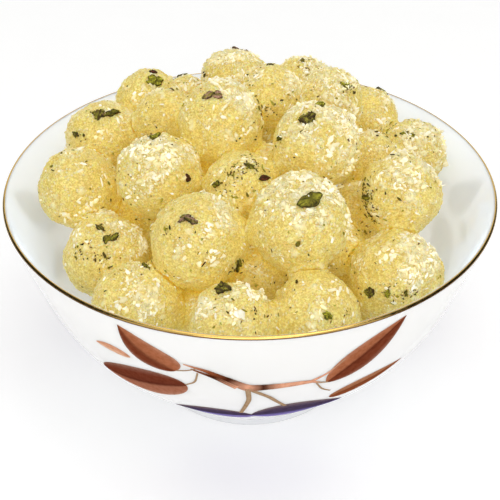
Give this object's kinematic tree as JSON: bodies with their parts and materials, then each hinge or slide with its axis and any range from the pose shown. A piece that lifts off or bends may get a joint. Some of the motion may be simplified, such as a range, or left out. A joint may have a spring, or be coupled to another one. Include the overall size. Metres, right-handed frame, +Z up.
{
  "type": "dish of petha",
  "caption": "White round bowl on a low foot, heaped with round pale yellow sugar-cooked sweets that are topped with crumbs and chopped nuts.",
  "frame": {"origin": "centre of the underside of the bowl's foot, at the surface it stands on", "axes": "+Z up along the bowl's axis, -Y towards the side of the heap that was pictured, +X to the right seen from there"},
  "size_m": [0.15, 0.15, 0.1013],
  "materials": {
    "china": "gloss",
    "gold": "polished",
    "print": "gloss",
    "petha": "moist translucent sweet",
    "pistachio": "matte",
    "crumbs": "matte"
  },
  "bodies": {
    "root": {"bowl": "china", "petha_front_1": "petha", "petha_front_2": "petha", "petha_front_3": "petha", "petha_front_4": "petha", "petha_second_1": "petha", "petha_second_2": "petha", "petha_second_3": "petha", "petha_second_4": "petha", "petha_middle_1": "petha", "petha_middle_2": "petha", "petha_middle_3": "petha", "petha_middle_4": "petha", "petha_middle_5": "petha", "petha_upper_1": "petha", "petha_upper_2": "petha", "petha_upper_3": "petha", "petha_upper_4": "petha", "petha_upper_5": "petha", "petha_upper_6": "petha", "petha_back_1": "petha", "petha_back_2": "petha", "petha_back_3": "petha", "petha_back_4": "petha", "petha_back_5": "petha", "petha_rear_1": "petha", "petha_rear_2": "petha", "petha_rear_3": "petha", "petha_core_1": "petha", "petha_core_2": "petha", "petha_core_3": "petha", "petha_core_4": "petha", "petha_core_5": "petha", "petha_core_6": "petha", "petha_core_7": "petha", "petha_core_8": "petha", "petha_core_9": "petha", "petha_under_1": "petha", "petha_under_2": "petha", "petha_under_3": "petha", "petha_under_4": "petha", "petha_under_5": "petha", "petha_under_6": "petha", "petha_under_7": "petha", "petha_under_8": "petha", "petha_under_9": "petha", "petha_under_10": "petha", "petha_under_11": "petha", "petha_under_12": "petha", "petha_under_13": "petha", "petha_under_14": "petha", "petha_under_15": "petha", "petha_under_16": "petha", "petha_under_17": "petha", "petha_under_18": "petha", "petha_under_19": "petha", "petha_under_20": "petha", "petha_under_21": "petha"}
  },
  "joints": []
}
